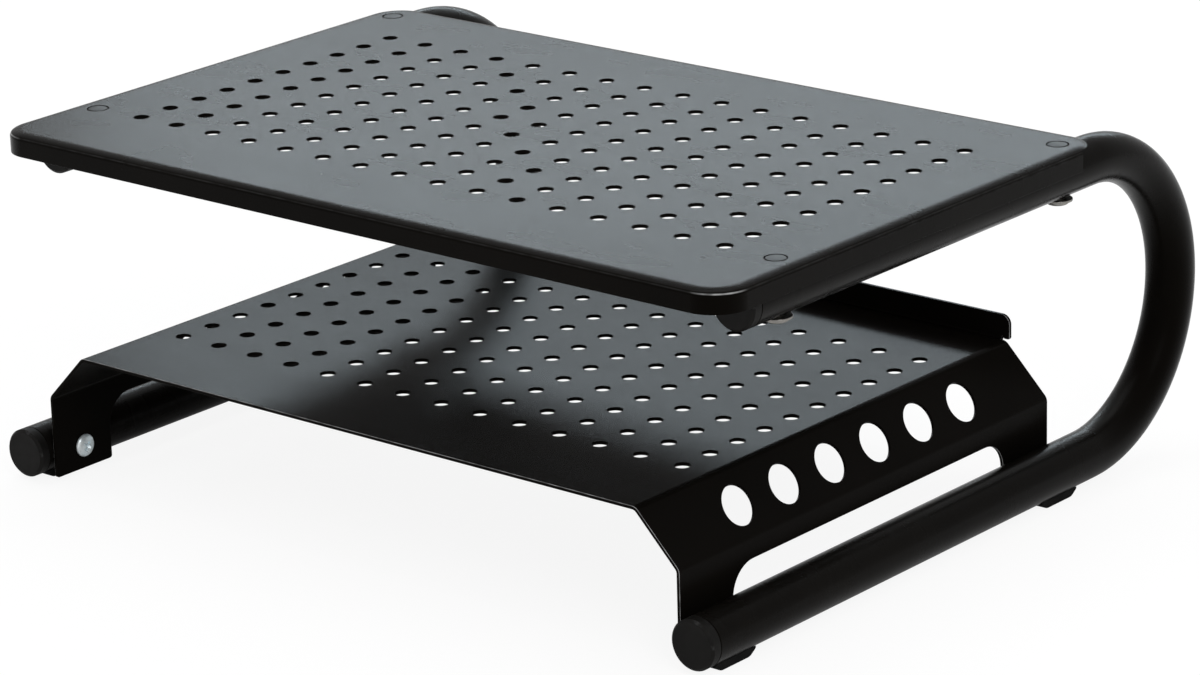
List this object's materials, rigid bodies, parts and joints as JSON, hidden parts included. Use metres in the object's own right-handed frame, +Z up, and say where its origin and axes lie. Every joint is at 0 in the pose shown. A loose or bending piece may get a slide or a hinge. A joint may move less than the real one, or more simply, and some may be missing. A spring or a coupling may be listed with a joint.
{
  "type": "monitor riser stand",
  "caption": "Two-tier black steel desk riser: a perforated rimmed platform bolted on two C-bent tube legs, with a folded perforated lower shelf between the legs' lower arms.",
  "frame": {"origin": "on the desk under the middle of the whole stand", "axes": "+X to the right of someone facing the front edge, +Y to the back, +Z up"},
  "size_m": [0.372, 0.32, 0.1453],
  "materials": {
    "powder_coat_sheet": "black satin powder coat on steel sheet",
    "powder_coat_tube": "black satin powder coat on steel tube",
    "plug_plastic": "fine-grained black moulded plastic",
    "foot_rubber": "matt black rubber",
    "zinc_plate": "bright zinc plate",
    "insert_steel": "black satin powder coat on steel"
  },
  "bodies": {
    "root": {"top_shelf": "powder_coat_sheet", "lower_shelf": "powder_coat_sheet", "left_leg_tube": "powder_coat_tube", "right_leg_tube": "powder_coat_tube", "left_upper_end_plug": "plug_plastic", "left_lower_end_plug": "plug_plastic", "right_upper_end_plug": "plug_plastic", "right_lower_end_plug": "plug_plastic", "left_front_foot": "foot_rubber", "left_front_shelf_insert": "insert_steel", "left_front_washer": "zinc_plate", "left_front_shelf_bolt": "zinc_plate", "left_front_tab_screw": "zinc_plate", "left_front_rivet_nut": "zinc_plate", "left_rear_foot": "foot_rubber", "left_rear_shelf_insert": "insert_steel", "left_rear_washer": "zinc_plate", "left_rear_shelf_bolt": "zinc_plate", "left_rear_tab_screw": "zinc_plate", "left_rear_rivet_nut": "zinc_plate", "right_front_foot": "foot_rubber", "right_front_shelf_insert": "insert_steel", "right_front_washer": "zinc_plate", "right_front_shelf_bolt": "zinc_plate", "right_front_tab_screw": "zinc_plate", "right_front_rivet_nut": "zinc_plate", "right_rear_foot": "foot_rubber", "right_rear_shelf_insert": "insert_steel", "right_rear_washer": "zinc_plate", "right_rear_shelf_bolt": "zinc_plate", "right_rear_tab_screw": "zinc_plate", "right_rear_rivet_nut": "zinc_plate"}
  },
  "joints": []
}
